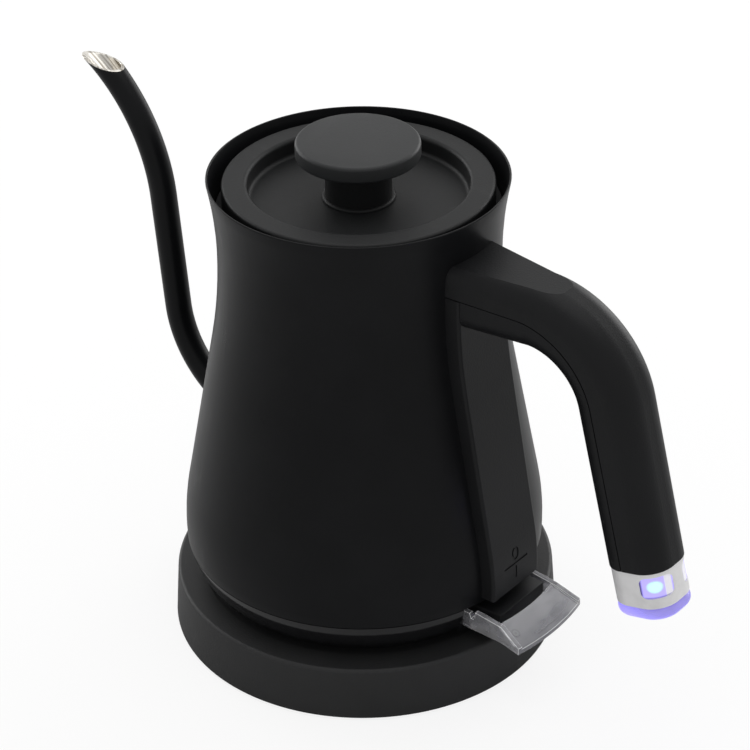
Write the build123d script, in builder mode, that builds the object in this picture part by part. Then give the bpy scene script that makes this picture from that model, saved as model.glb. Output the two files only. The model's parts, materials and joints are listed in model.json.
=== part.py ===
from build123d import *

import os
from math import acos, asin, atan2, cos, degrees, hypot, radians, sin, tan

os.makedirs("parts", exist_ok=True)

# Electric gooseneck kettle on its round power base, in millimetres.
# The origin is the middle of the base on the table, +Z is up and +X points to the handle.

# ---- driving dimensions -------------------------------------------------------------------------
# Power base
base_overhang = 6.1        # the base beyond the belly
base_draft = 1.6           # how much narrower its top is
base_top = 23.2
base_wall = 2.4
base_edge = 1.4
foot_lift = 1.2            # the cover's lower edge hangs this far above the table
dish_depth = 1.2           # shallow seat in the base top for the kettle
plate_thickness = 2.0
foot_ring_width = 7.0
foot_ring_set_in = 12.0    # from the base's edge
base_screw_set_in = 30.0   # from the base's edge
turret_radius = 13.0
turret_collar = 20.0
gland_radius = 4.6
gland_bore = 3.0

# Body side: a belly arc, a straight cone and a waist that flares to the rim.
# Heights on the body are counted from the shell's lower edge.
wall = 0.8
ring_height = 18.0         # the shell's lower edge above the seat in the base
body_height = 158.3
belly_radius = 71.9
belly_above_edge = 5.0
belly_round = 100.0
cone_length = 66.9         # straight stretch between the belly arc and the waist arc
waist_radius = 54.2
waist_below_rim = 30.3
flare_round = 150.0

# Bottom of the kettle
ring_wall = 2.2
ring_gap = 0.4             # groove between the shell and the bottom ring
ring_foot_set_in = 10.9    # from the belly
foot_width = 2.4
flange_thickness = 1.6
cover_lift = 1.6           # the bottom cover above the seat
cover_thickness = 1.8
pan_above_edge = 8.0
heat_plate_thickness = 3.0
heat_plate_set_in = 9.9
element_radius = 3.3
element_ring = 38.0
control_radius = 22.0
control_height = 5.0
control_arm_width = 16.0
disc_radius = 8.0
disc_thickness = 0.5
disc_dome = 1.2
stud_set_in = 19.9         # from the belly
stud_radius = 3.6

# Connector between kettle and base
connector_wall = 2.0
connector_clearance = 0.8
lift_gap = 1.0             # free height above the turret
pin_radius = 1.6
pin_length = 14.0
slot_inner = 6.4
slot_width = 3.0
blade_width = 1.2

# Spout
spout_radius = 5.4
spout_wall = 0.9
spout_root_height = 27.4   # above the shell's lower edge
spout_root_angle = 155.0
spout_reach = 26.6         # from the belly to the long upright stretch
spout_reach_height = 68.0
spout_rise_angle = 95.3
spout_tip_reach = 29.9     # from there to the mouth
spout_tip_rise = 8.0       # mouth above the rim
spout_tip_angle = 153.4
spout_low_bend = 43.0
spout_high_bend = 72.3
spout_cut_tilt = -5.3

# Lid
lid_drop = 2.3             # below the rim
lid_gap = 5.8              # free ring between the lid and the shell
lid_border = 9.7
lid_dish = 7.2
lid_wall = 1.6
lid_edge = 1.2
dish_edge = 1.6
gasket_drop = 12.0
gasket_thickness = 3.0
gasket_depth = 2.4         # depth of its groove
stem_radius = 12.6
knob_radius = 23.5
knob_rise = 16.2           # knob top above the lid
knob_thickness = 6.2
screw_radius = 1.9

# Handle
arm_drop = 27.8            # below the rim
arm_length = 31.2          # from the waist to the bend
grip_bend = 35.0
grip_tilt = 14.5
grip_half_width = 12.2
grip_half_depth = 13.3
grip_corner = 10.0
grip_length = 64.0
arm_root_half_width = 14.8
arm_root_corner = 6.0
arm_flat_rise = 12.0
handle_wall = 2.2
seam_gap = 0.35
seam_inset = 3.0
column_half_width = 14.6
column_proud = 4.5
column_gap = 2.3           # the column ends this far above the shell's lower edge
column_wall = 1.2
column_edge = 1.2
steam_hole_rise = 5.5      # above the arm's middle
steam_hole_radius = 2.0
steam_tube_radius = 1.4
mark_depth = 0.35
mark_line = 0.9
mark_length = 14.5
mark_rise = 11.1           # the dividing mark above the column's foot
mark_step = 4.2
end_ring_length = 14.6
end_cap_length = 5.4
end_step = 0.4
ring_thickness = 1.5
window_half_width = 6.2
window_height = 8.6
window_angle = 42.0
window_recess = 0.3
lamp_radius = 2.2
lamp_reach = 7.2
lamp_start = 2.7
wire_radius = 0.8
wire_spacing = 4.0

# Switch lever
lever_pivot_set_in = 9.9   # from the belly
lever_pivot_rise = 5.5     # above the slot's floor
lever_tail = 4.0
lever_panel_reach = 11.1
lever_nose_reach = 23.1
lever_nose_half_width = 20.9
lever_back_half_width = 18.5
lever_floor_gap = 1.6
lever_panel_height = 7.4
lever_nose_height = 2.0
lever_wall = 1.6
lever_side_wall = 2.0
lever_bar_half_width = 14.0
lever_bar_height = 7.0
lever_pin_radius = 1.5
pin_clearance = 0.06
slot_clearance = 1.4
cheek_width = 2.4
push_rod_set_back = 8.0    # behind the pivot
push_rod_radius = 1.4
fit = 0.05                 # clearance of pieces that are pressed or bonded together
run = 0.35                 # clearance of pieces that pass each other

# ---- heights and radii that follow ----------------------------------------------------------------
base_radius = belly_radius + base_overhang
base_top_radius = base_radius - base_draft
base_screw_ring = base_radius - base_screw_set_in
seat_height = base_top - dish_depth
shell_bottom = seat_height + ring_height
belly_height = shell_bottom + belly_above_edge
rim_height = shell_bottom + body_height
waist_height = rim_height - waist_below_rim
pan_height = shell_bottom + pan_above_edge
plate_low = pan_height - heat_plate_thickness
connector_top = plate_low - control_height
turret_top = connector_top - connector_wall - lift_gap
cover_bottom = seat_height + cover_lift
flange_bottom = cover_bottom + cover_thickness
flange_top = flange_bottom + flange_thickness
ring_foot_radius = belly_radius - ring_foot_set_in
stud_ring = belly_radius - stud_set_in
arm_height = rim_height - arm_drop
arm_flat = arm_height + arm_flat_rise
arm_straight = waist_radius + arm_length
column_foot = shell_bottom + column_gap
lever_pivot_x = belly_radius - lever_pivot_set_in
lever_pivot_z = flange_top + lever_pivot_rise
push_rod_x = lever_pivot_x - push_rod_set_back
lid_top = rim_height - lid_drop
dish_floor = lid_top - lid_dish
gasket_height = lid_top - gasket_drop
knob_top = lid_top + knob_rise

# ---- the body's side line -----------------------------------------------------------------------
# The cone's lean and the waist's arc follow from the belly, the waist and the cone's length.
side_step = belly_radius - waist_radius
side_rise = waist_height - belly_height
cone_angle = 2 * degrees(atan2(side_step, side_rise + cone_length))
cone_x = cos(radians(cone_angle))
cone_z = sin(radians(cone_angle))
waist_round = (side_rise - cone_length * cone_x) / cone_z - belly_round
belly_x = belly_radius - belly_round
waist_x = waist_radius + waist_round
flare_x = waist_radius + flare_round


def side_line(inset, low, high):
    """Draws the body's side from low to high, moved inwards by inset, and returns its two ends."""
    belly = belly_round - inset
    waist = waist_round + inset
    flare = flare_round + inset
    start = degrees(asin((low - belly_height) / belly))
    CenterArc((belly_x, belly_height), belly, start, cone_angle - start)
    Line((belly_x + belly * cone_x, belly_height + belly * cone_z),
         (waist_x - waist * cone_x, waist_height - waist * cone_z))
    if high > waist_height:
        finish = degrees(asin((high - waist_height) / flare))
        CenterArc((waist_x, waist_height), waist, 180 + cone_angle, -cone_angle)
        CenterArc((flare_x, waist_height), flare, 180, -finish)
    else:
        finish = degrees(asin((waist_height - high) / waist))
        CenterArc((waist_x, waist_height), waist, 180 + cone_angle, finish - cone_angle)
    return (side_radius(low, inset), low), (side_radius(high, inset), high)


def side_radius(height, inset=0.0):
    """Radius of the body's side on its belly, cone, waist or flare."""
    belly = belly_round - inset
    waist = waist_round + inset
    cone_low = (belly_x + belly * cone_x, belly_height + belly * cone_z)
    cone_high = (waist_x - waist * cone_x, waist_height - waist * cone_z)
    if height < cone_low[1]:
        return belly_x + belly * cos(asin((height - belly_height) / belly))
    if height < cone_high[1]:
        share = (height - cone_low[1]) / (cone_high[1] - cone_low[1])
        return cone_low[0] + share * (cone_high[0] - cone_low[0])
    if height < waist_height:
        return waist_x - waist * cos(asin((waist_height - height) / waist))
    flare = flare_round + inset
    return flare_x - flare * cos(asin((height - waist_height) / flare))


lid_radius = side_radius(rim_height) - lid_gap
dish_radius = lid_radius - lid_border

# ---- power base ---------------------------------------------------------------------------------
seat_radius = ring_foot_radius + 5.0
foot_ring_outer = base_radius - foot_ring_set_in
foot_ring_inner = foot_ring_outer - foot_ring_width
plate_bottom = foot_lift + 0.3
plate_top = plate_bottom + plate_thickness
plate_radius = base_radius - base_wall - 0.6
gland_height = base_top / 2
gland_x = -(base_radius + base_top_radius) / 2

with BuildPart() as base_cover:
    with BuildSketch(Plane.XZ):
        with BuildLine():
            Polyline((0, foot_lift), (base_radius, foot_lift), (base_top_radius, base_top), (0, base_top),
                     (0, foot_lift))
        make_face()
    revolve(axis=Axis.Z)
    fillet(base_cover.edges().filter_by(GeomType.CIRCLE).group_by(Axis.Z)[-1], base_edge)
    with BuildSketch(Plane.XY.offset(base_top)):
        Circle(seat_radius)
    extrude(amount=-dish_depth, mode=Mode.SUBTRACT)
    with BuildSketch(Plane.XZ):
        with BuildLine():
            Polyline((0, foot_lift), (base_radius - base_wall, foot_lift),
                     (base_top_radius - base_wall, seat_height - base_wall),
                     (0, seat_height - base_wall), (0, foot_lift))
        make_face()
    revolve(axis=Axis.Z, mode=Mode.SUBTRACT)
    with BuildSketch(Plane.XY.offset(plate_top)):
        with PolarLocations(base_screw_ring, 4, start_angle=45):
            Circle(screw_radius + 2.4)
    extrude(until=Until.NEXT)
    with BuildSketch(Plane.XY.offset(plate_top)):
        with PolarLocations(base_screw_ring, 4, start_angle=45):
            Circle(screw_radius + fit)
    extrude(amount=11, mode=Mode.SUBTRACT)
    with BuildSketch(Plane.XY.offset(seat_height - base_wall - 1)):
        Circle(turret_radius + fit)
    extrude(amount=base_wall + 2, mode=Mode.SUBTRACT)
    with BuildSketch(Plane.YZ.offset(-base_radius - 1)):
        with Locations((0, gland_height)):
            Circle(gland_radius + fit)
    extrude(amount=base_wall + 6, mode=Mode.SUBTRACT)
base_cover.part.label = "base_cover"
export_step(base_cover.part, "parts/base_cover.step")

# Bottom plate with a groove for the rubber foot ring and four screw holes.
with BuildPart() as base_plate:
    with BuildSketch(Plane.XY.offset(plate_bottom)):
        Circle(plate_radius)
    extrude(amount=plate_thickness)
    with BuildSketch(Plane.XY.offset(plate_bottom)):
        with PolarLocations(base_screw_ring, 4, start_angle=45):
            Circle(screw_radius + run)
    extrude(amount=plate_thickness, mode=Mode.SUBTRACT)
    with BuildSketch(Plane.XY.offset(plate_bottom)):
        Circle(foot_ring_outer + fit)
        Circle(foot_ring_inner - fit, mode=Mode.SUBTRACT)
    extrude(amount=plate_thickness / 2, mode=Mode.SUBTRACT)
base_plate.part.label = "base_plate"
export_step(base_plate.part, "parts/base_plate.step")

with BuildPart() as foot_ring:
    with BuildSketch():
        Circle(foot_ring_outer)
        Circle(foot_ring_inner, mode=Mode.SUBTRACT)
    extrude(amount=plate_bottom + plate_thickness / 2)
    chamfer(foot_ring.edges().group_by(Axis.Z)[0], 0.5)
foot_ring.part.label = "foot_ring"
export_step(foot_ring.part, "parts/foot_ring.step")

with BuildPart() as base_screws:
    with BuildSketch(Plane.XY.offset(plate_bottom - 0.9)):
        with PolarLocations(base_screw_ring, 4, start_angle=45):
            Circle(screw_radius * 1.8)
    extrude(amount=0.9)
    with BuildSketch(Plane.XY.offset(plate_bottom)):
        with PolarLocations(base_screw_ring, 4, start_angle=45):
            Circle(screw_radius)
    extrude(amount=9)
base_screws.part.label = "base_screws"
export_step(base_screws.part, "parts/base_screws.step")

# Round turret that stands in the kettle's connector: a bore for the middle pin and a ring slot.
slot_outer = slot_inner + slot_width
turret_bore = pin_radius + 0.9
turret_floor = plate_top + 0.6
with BuildPart() as socket_housing:
    with BuildSketch(Plane.XY.offset(turret_floor)):
        Circle(turret_radius)
    extrude(amount=turret_top - turret_floor)
    fillet(socket_housing.edges().group_by(Axis.Z)[-1], 1.2)
    with BuildSketch(Plane.XY.offset(turret_floor)):
        Circle(turret_collar)
    extrude(amount=seat_height - base_wall - turret_floor)
    with BuildSketch(Plane.XY.offset(turret_top)):
        Circle(turret_bore)
    extrude(amount=-(pin_length + 2), mode=Mode.SUBTRACT)
    with BuildSketch(Plane.XY.offset(turret_top)):
        Circle(slot_outer)
        Circle(slot_inner, mode=Mode.SUBTRACT)
    extrude(amount=-pin_length, mode=Mode.SUBTRACT)
socket_housing.part.label = "socket_housing"
export_step(socket_housing.part, "parts/socket_housing.step")

# Spring contacts at the bottom of the turret's bore and ring slot.
with BuildPart() as socket_contacts:
    with BuildSketch(Plane.XY.offset(turret_top - pin_length - 2)):
        Circle(turret_bore - fit)
    extrude(amount=1.2)
    with BuildSketch(Plane.XY.offset(turret_top - pin_length)):
        Circle(slot_outer - fit)
        Circle(slot_inner + fit, mode=Mode.SUBTRACT)
    extrude(amount=1.2)
socket_contacts.part.label = "socket_contacts"
export_step(socket_contacts.part, "parts/socket_contacts.step")

# Open bush in the base's wall, where the mains lead enters.
with BuildPart() as cord_gland:
    with BuildSketch(Plane.YZ.offset(gland_x - 2.2)):
        with Locations((0, gland_height)):
            Circle(gland_radius + 1.4)
    extrude(amount=1.2)
    with BuildSketch(Plane.YZ.offset(gland_x - 1.0)):
        with Locations((0, gland_height)):
            Circle(gland_radius)
    extrude(amount=base_wall + 3)
    with BuildSketch(Plane.YZ.offset(gland_x - 2.2)):
        with Locations((0, gland_height)):
            Circle(gland_bore)
    extrude(amount=base_wall + 6, mode=Mode.SUBTRACT)
cord_gland.part.label = "cord_gland"
export_step(cord_gland.part, "parts/cord_gland.step")

# ---- kettle connector ---------------------------------------------------------------------------
connector_inner = turret_radius + connector_clearance
connector_outer = connector_inner + connector_wall

with BuildPart() as connector_plug:
    with BuildSketch(Plane.XY.offset(cover_bottom)):
        Circle(connector_outer)
        Circle(connector_inner, mode=Mode.SUBTRACT)
    extrude(amount=connector_top - cover_bottom)
    with BuildSketch(Plane.XY.offset(connector_top - connector_wall)):
        Circle(connector_inner + 0.5)
    extrude(amount=connector_wall)
connector_plug.part.label = "connector_plug"
export_step(connector_plug.part, "parts/connector_plug.step")

slot_middle = (slot_inner + slot_outer) / 2
blade_half = blade_width / 2
with BuildPart() as connector_pins:
    with BuildSketch(Plane.XY.offset(connector_top - connector_wall)):
        Circle(pin_radius)
    extrude(amount=-(lift_gap + pin_length))
    with BuildSketch(Plane.XY.offset(connector_top - connector_wall)):
        Circle(slot_middle + blade_half)
        Circle(slot_middle - blade_half, mode=Mode.SUBTRACT)
    extrude(amount=-(lift_gap + pin_length - 2))
connector_pins.part.label = "connector_pins"
export_step(connector_pins.part, "parts/connector_pins.step")

# ---- kettle body --------------------------------------------------------------------------------
# The whole solid inside of the side line, used to trim what sits on the body.
with BuildPart() as body_block:
    with BuildSketch(Plane.XZ):
        with BuildLine():
            low_end, high_end = side_line(-fit, shell_bottom - 4, rim_height)
            Polyline(high_end, (0, rim_height), (0, shell_bottom - 4), low_end)
        make_face()
    revolve(axis=Axis.Z)

# Spout centre line: a short root, the long upright stretch and the tip, joined by two bends.
def crossing(x1, z1, angle1, x2, z2, angle2):
    """Point where two slanted lines of the XZ plane meet."""
    dx1, dz1 = cos(radians(angle1)), sin(radians(angle1))
    dx2, dz2 = cos(radians(angle2)), sin(radians(angle2))
    along = ((x2 - x1) * dz2 - (z2 - z1) * dx2) / (dx1 * dz2 - dz1 * dx2)
    return x1 + along * dx1, z1 + along * dz1


spout_root_z = shell_bottom + spout_root_height
spout_root_x = -side_radius(spout_root_z) + 3.2
spout_rise_x = -belly_radius - spout_reach
spout_rise_z = shell_bottom + spout_reach_height
spout_tip_x = spout_rise_x - spout_tip_reach
spout_tip_z = rim_height + spout_tip_rise
low_corner = crossing(spout_root_x, spout_root_z, spout_root_angle,
                      spout_rise_x, spout_rise_z, spout_rise_angle)
high_corner = crossing(spout_rise_x, spout_rise_z, spout_rise_angle,
                       spout_tip_x, spout_tip_z, spout_tip_angle)
tip_run = 16.0             # the tube is made this much too long and then cut
tip_end = (spout_tip_x + tip_run * cos(radians(spout_tip_angle)),
           spout_tip_z + tip_run * sin(radians(spout_tip_angle)))
with BuildLine(Plane.XZ) as spout_path:
    FilletPolyline((spout_root_x, spout_root_z), low_corner, high_corner, tip_end,
                   radius=[spout_low_bend, spout_high_bend])
root_plane = Plane(origin=(spout_root_x, 0, spout_root_z),
                   z_dir=(cos(radians(spout_root_angle)), 0, sin(radians(spout_root_angle))))
tip_plane = Plane(origin=(spout_tip_x, 0, spout_tip_z),
                  z_dir=(-sin(radians(spout_cut_tilt)), 0, cos(radians(spout_cut_tilt))))

with BuildPart() as spout_tube:
    with BuildSketch(root_plane):
        Circle(spout_radius)
        Circle(spout_radius - spout_wall, mode=Mode.SUBTRACT)
    sweep(path=spout_path.wire())
    with BuildSketch(tip_plane):
        Circle(8 * spout_radius)
    extrude(amount=6 * spout_radius, mode=Mode.SUBTRACT)
    with BuildSketch(Plane.XZ):
        with BuildLine():
            low_end, high_end = side_line(wall + 1.2, shell_bottom, rim_height)
            Polyline(high_end, (0, rim_height), (0, shell_bottom), low_end)
        make_face()
    revolve(axis=Axis.Z, mode=Mode.SUBTRACT)
spout_tube.part.label = "spout_tube"
export_step(spout_tube.part, "parts/spout_tube.step")

# Thin steel shell with the spout's hole and the steam hole behind the handle's arm.
with BuildPart() as body_shell:
    with BuildSketch(Plane.XZ):
        with BuildLine():
            outer_low, outer_high = side_line(0, shell_bottom, rim_height)
            inner_low, inner_high = side_line(wall, shell_bottom, rim_height)
            Line(outer_low, inner_low)
            Line(outer_high, inner_high)
        make_face()
    revolve(axis=Axis.Z)
    fillet(body_shell.edges().filter_by(GeomType.CIRCLE).group_by(Axis.Z)[-1], wall * 0.45)
    with BuildSketch(root_plane):
        Circle(spout_radius + fit)
    extrude(amount=20, both=True, mode=Mode.SUBTRACT)
    with BuildSketch(Plane.YZ.offset(waist_radius - 4)):
        with Locations((0, arm_height + steam_hole_rise)):
            Circle(steam_hole_radius)
    extrude(amount=8, mode=Mode.SUBTRACT)
body_shell.part.label = "body_shell"
export_step(body_shell.part, "parts/body_shell.step")

# Floor of the water space: a pressed pan welded into the shell, with three studs below.
pan_radius = side_radius(pan_height, wall) - 0.12
pan_lip_bottom = shell_bottom + 3.6
with BuildPart() as floor_pan:
    with BuildSketch(Plane.XY.offset(pan_lip_bottom)):
        Circle(pan_radius)
    extrude(amount=pan_height + wall - pan_lip_bottom)
    fillet(floor_pan.edges().group_by(Axis.Z)[-1], wall * 2)
    with BuildSketch(Plane.XY.offset(pan_lip_bottom)):
        Circle(pan_radius - wall)
    extrude(amount=pan_height - pan_lip_bottom, mode=Mode.SUBTRACT)
floor_pan.part.label = "floor_pan"
export_step(floor_pan.part, "parts/floor_pan.step")

with BuildPart() as heat_plate:
    with BuildSketch(Plane.XY.offset(plate_low)):
        Circle(pan_radius - heat_plate_set_in + 1)
    extrude(amount=heat_plate_thickness)
    with BuildSketch(Plane.XY.offset(flange_top)):
        with PolarLocations(stud_ring, 3, start_angle=60):
            Circle(stud_radius)
    extrude(amount=plate_low - flange_top)
    with BuildSketch(Plane.XY.offset(flange_top)):
        with PolarLocations(stud_ring, 3, start_angle=60):
            Circle(screw_radius + fit)
    extrude(amount=12, mode=Mode.SUBTRACT)
heat_plate.part.label = "heat_plate"
export_step(heat_plate.part, "parts/heat_plate.step")

# Horseshoe element with two straight ends that turn down.
element_open = 40.0
with BuildPart() as heating_element:
    with BuildSketch(Plane.XZ):
        with Locations((element_ring, plate_low - element_radius)):
            Circle(element_radius)
    revolve(axis=Axis.Z, revolution_arc=360 - element_open)
heating_element.part.label = "heating_element"
heating_element.part.orientation = (0, 0, element_open / 2)
export_step(heating_element.part, "parts/heating_element.step")

with BuildPart() as control_unit:
    with BuildSketch(Plane.XY.offset(connector_top)):
        Circle(control_radius)
    extrude(amount=plate_low - connector_top)
    with BuildSketch(Plane.XY.offset(connector_top)):
        with Locations(((control_radius + push_rod_x) / 2, 0)):
            Rectangle(push_rod_x - control_radius + 8, control_arm_width)
    extrude(amount=2.0)
    with BuildSketch(Plane.XY.offset(connector_top)):
        with Locations((push_rod_x, 0)):
            Circle(push_rod_radius + run)
    extrude(amount=2.0, mode=Mode.SUBTRACT)
control_unit.part.label = "control_unit"
export_step(control_unit.part, "parts/control_unit.step")

# Domed snap disc that feels the steam, on the control unit's arm.
disc_x = element_ring
disc_round = disc_radius**2 / (2 * disc_dome)
with BuildPart() as bimetal_disc:
    with BuildSketch(Plane.XZ):
        with BuildLine():
            Line((0, 0), (0, disc_thickness))
            RadiusArc((0, disc_thickness), (disc_radius, disc_thickness - disc_dome), disc_round)
            Line((disc_radius, disc_thickness - disc_dome), (disc_radius, -disc_dome))
            RadiusArc((0, 0), (disc_radius, -disc_dome), disc_round)
        make_face()
    revolve(axis=Axis.Z)
bimetal_disc.part.label = "bimetal_disc"
bimetal_disc.part.position = (disc_x, 0, connector_top - disc_thickness)
export_step(bimetal_disc.part, "parts/bimetal_disc.step")

# ---- bottom ring and cover ----------------------------------------------------------------------
ring_top = shell_bottom - ring_gap
ring_radius = side_radius(shell_bottom) - 0.1
lip_radius = pan_radius
lip_top = pan_lip_bottom - 0.3
bow_top = ring_top - 5.6
bow_middle = flange_top + 3.6
lever_slot_half = lever_nose_half_width + slot_clearance
slot_back = lever_pivot_x - 10.1
slot_depth = 2 * (ring_radius - slot_back)
cheek_length = 12.0
cheek_inner = lever_back_half_width + 0.7
with BuildPart() as bottom_ring:
    with BuildSketch(Plane.XZ):
        with BuildLine():
            Line((ring_radius, ring_top), (lip_radius, ring_top))
            Line((lip_radius, ring_top), (lip_radius, lip_top))
            Line((lip_radius, lip_top), (lip_radius - ring_wall, lip_top))
            Line((lip_radius - ring_wall, lip_top), (lip_radius - ring_wall, bow_top))
            ThreePointArc((lip_radius - ring_wall, bow_top), (lip_radius - ring_wall - 2.5, bow_middle),
                          (ring_foot_radius + 0.5, flange_top))
            Line((ring_foot_radius + 0.5, flange_top), (stud_ring - 5, flange_top))
            Line((stud_ring - 5, flange_top), (stud_ring - 5, flange_bottom))
            Line((stud_ring - 5, flange_bottom), (ring_foot_radius - foot_width, flange_bottom))
            Line((ring_foot_radius - foot_width, flange_bottom), (ring_foot_radius - foot_width, seat_height))
            Line((ring_foot_radius - foot_width, seat_height), (ring_foot_radius, seat_height))
            ThreePointArc((ring_foot_radius, seat_height), (ring_radius - 3.9, seat_height + 7.0),
                          (ring_radius, ring_top))
        make_face()
    revolve(axis=Axis.Z)
    with BuildSketch(Plane.XY.offset(flange_top)):
        with Locations((slot_back + slot_depth / 2, 0)):
            Rectangle(slot_depth, 2 * lever_slot_half)
    extrude(amount=ring_top - flange_top, mode=Mode.SUBTRACT)
    with BuildSketch(Plane.XY.offset(flange_top)):
        for side in (-1, 1):
            with Locations((lever_pivot_x - 3, side * (cheek_inner + cheek_width / 2))):
                Rectangle(cheek_length, cheek_width)
    extrude(amount=lever_pivot_z + 3.6 - flange_top)
    with BuildSketch(Plane.XZ):
        with Locations((lever_pivot_x, lever_pivot_z)):
            Circle(lever_pin_radius + fit)
    extrude(amount=cheek_inner + cheek_width, both=True, mode=Mode.SUBTRACT)
    with BuildSketch(Plane.XY.offset(flange_bottom)):
        with PolarLocations(stud_ring, 3, start_angle=60):
            Circle(screw_radius + run)
    extrude(amount=flange_thickness, mode=Mode.SUBTRACT)
bottom_ring.part.label = "bottom_ring"
export_step(bottom_ring.part, "parts/bottom_ring.step")

with BuildPart() as bottom_cover:
    with BuildSketch(Plane.XY.offset(cover_bottom)):
        Circle(ring_foot_radius - foot_width - run)
        Circle(connector_outer + run, mode=Mode.SUBTRACT)
        with PolarLocations(stud_ring, 3, start_angle=60):
            Circle(screw_radius + run, mode=Mode.SUBTRACT)
    extrude(amount=cover_thickness)
bottom_cover.part.label = "bottom_cover"
export_step(bottom_cover.part, "parts/bottom_cover.step")

with BuildPart() as bottom_screws:
    with BuildSketch(Plane.XY.offset(cover_bottom - 1.0)):
        with PolarLocations(stud_ring, 3, start_angle=60):
            Circle(screw_radius * 1.8)
    extrude(amount=1.0)
    with BuildSketch(Plane.XY.offset(cover_bottom)):
        with PolarLocations(stud_ring, 3, start_angle=60):
            Circle(screw_radius)
    extrude(amount=cover_thickness + flange_thickness + 7)
bottom_screws.part.label = "bottom_screws"
export_step(bottom_screws.part, "parts/bottom_screws.step")

# ---- handle -------------------------------------------------------------------------------------
tilt_x = sin(radians(grip_tilt))
tilt_z = cos(radians(grip_tilt))
bend_z = arm_height - grip_bend
bend_end_x = arm_straight + grip_bend * tilt_z
bend_end_z = bend_z + grip_bend * tilt_x
grip_end_x = bend_end_x + grip_length * tilt_x
grip_end_z = bend_end_z - grip_length * tilt_z
arm_root = side_radius(arm_height) - 4.0
arm_bottom = arm_height - grip_half_depth


def handle_block(inset):
    """The whole handle, smaller by inset all round: a widening arm, a bend and a straight grip."""
    with BuildLine(Plane.XZ) as grip_path:
        CenterArc((arm_straight, bend_z), grip_bend, 90, grip_tilt - 90)
        Line((bend_end_x, bend_end_z), (grip_end_x, grip_end_z))
    with BuildPart() as block:
        with BuildSketch(Plane.YZ.offset(arm_straight)):
            with Locations((0, arm_height)):
                RectangleRounded(2 * (grip_half_width - inset), 2 * (grip_half_depth - inset),
                                 grip_corner - inset)
        sweep(path=grip_path.wire())
        with BuildSketch(Plane.YZ.offset(arm_root)):
            with Locations((0, arm_height)):
                RectangleRounded(2 * (arm_root_half_width - inset), 2 * (grip_half_depth - inset),
                                 arm_root_corner - inset)
        with BuildSketch(Plane.YZ.offset(arm_straight)):
            with Locations((0, arm_height)):
                RectangleRounded(2 * (grip_half_width - inset), 2 * (grip_half_depth - inset),
                                 grip_corner - inset)
        loft()
        with BuildSketch(Plane.XY.offset(arm_flat - inset)):
            with Locations((arm_straight, 0)):
                Rectangle(4 * arm_length, 4 * grip_half_width)
        extrude(amount=20, mode=Mode.SUBTRACT)
    return block.part


def inner_side(shift):
    """Block of space on the body's side of the handle's seam, moved towards the body by shift."""
    with BuildPart() as side:
        with BuildSketch(Plane.XZ):
            with BuildLine():
                seam_x = arm_straight - seam_inset - shift
                top = arm_height - shift
                low_z = bend_end_z - 2 * grip_length * tilt_z
                Line((20, top), (seam_x, top))
                bend = CenterArc((seam_x, top - grip_bend), grip_bend, 90, grip_tilt - 90)
                end = bend @ 1
                Line((end.X, end.Y), (end.X + 2 * grip_length * tilt_x, low_z))
                Line((end.X + 2 * grip_length * tilt_x, low_z), (20, low_z))
                Line((20, low_z), (20, top))
            make_face()
        extrude(amount=40, both=True)
    return side.part


with BuildPart() as column_block:
    with BuildSketch(Plane.XZ):
        with BuildLine():
            low_end, high_end = side_line(-column_proud, column_foot, arm_height - run)
            Polyline(high_end, (40, arm_height - run), (40, column_foot), low_end)
        make_face()
    extrude(amount=column_half_width, both=True)
    side_edges = column_block.edges().filter_by(lambda e: abs(e.center().Y) > column_half_width - 0.1)
    fillet(side_edges.filter_by(lambda e: e.center().X > side_radius(e.center().Z) + 3
                                and e.length > 1 and abs(e.tangent_at(0.5).Z) > 0.7), column_edge)

handle_outer = handle_block(0)
handle_hollow = handle_block(handle_wall)
handle_screw_x = [arm_root + 14, arm_root + 26]

with BuildPart() as handle_shell:
    add(handle_outer)
    add(handle_hollow, mode=Mode.SUBTRACT)
    add(inner_side(0), mode=Mode.SUBTRACT)
    add(body_block.part, mode=Mode.SUBTRACT)
handle_shell.part.label = "handle_shell"
export_step(handle_shell.part, "parts/handle_shell.step")

with BuildPart() as handle_insert:
    add(handle_outer)
    add(handle_hollow, mode=Mode.SUBTRACT)
    add(inner_side(seam_gap), mode=Mode.INTERSECT)
    add(body_block.part, mode=Mode.SUBTRACT)
    with BuildSketch(Plane.XZ):
        with BuildLine():
            low_end, high_end = side_line(-column_proud - fit, column_foot, arm_height)
            Polyline(high_end, (20, arm_height), (20, column_foot), low_end)
        make_face()
    extrude(amount=column_half_width + run, both=True, mode=Mode.SUBTRACT)
    with BuildSketch(Plane.XY.offset(arm_bottom - 1)):
        for x in handle_screw_x:
            with Locations((x, 0)):
                Circle(screw_radius * 1.8 + run)
    extrude(amount=2.0, mode=Mode.SUBTRACT)
    with BuildSketch(Plane.XY.offset(arm_bottom - 1)):
        for x in handle_screw_x:
            with Locations((x, 0)):
                Circle(screw_radius + run)
    extrude(amount=8, mode=Mode.SUBTRACT)
handle_insert.part.label = "handle_insert"
export_step(handle_insert.part, "parts/handle_insert.step")

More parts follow.
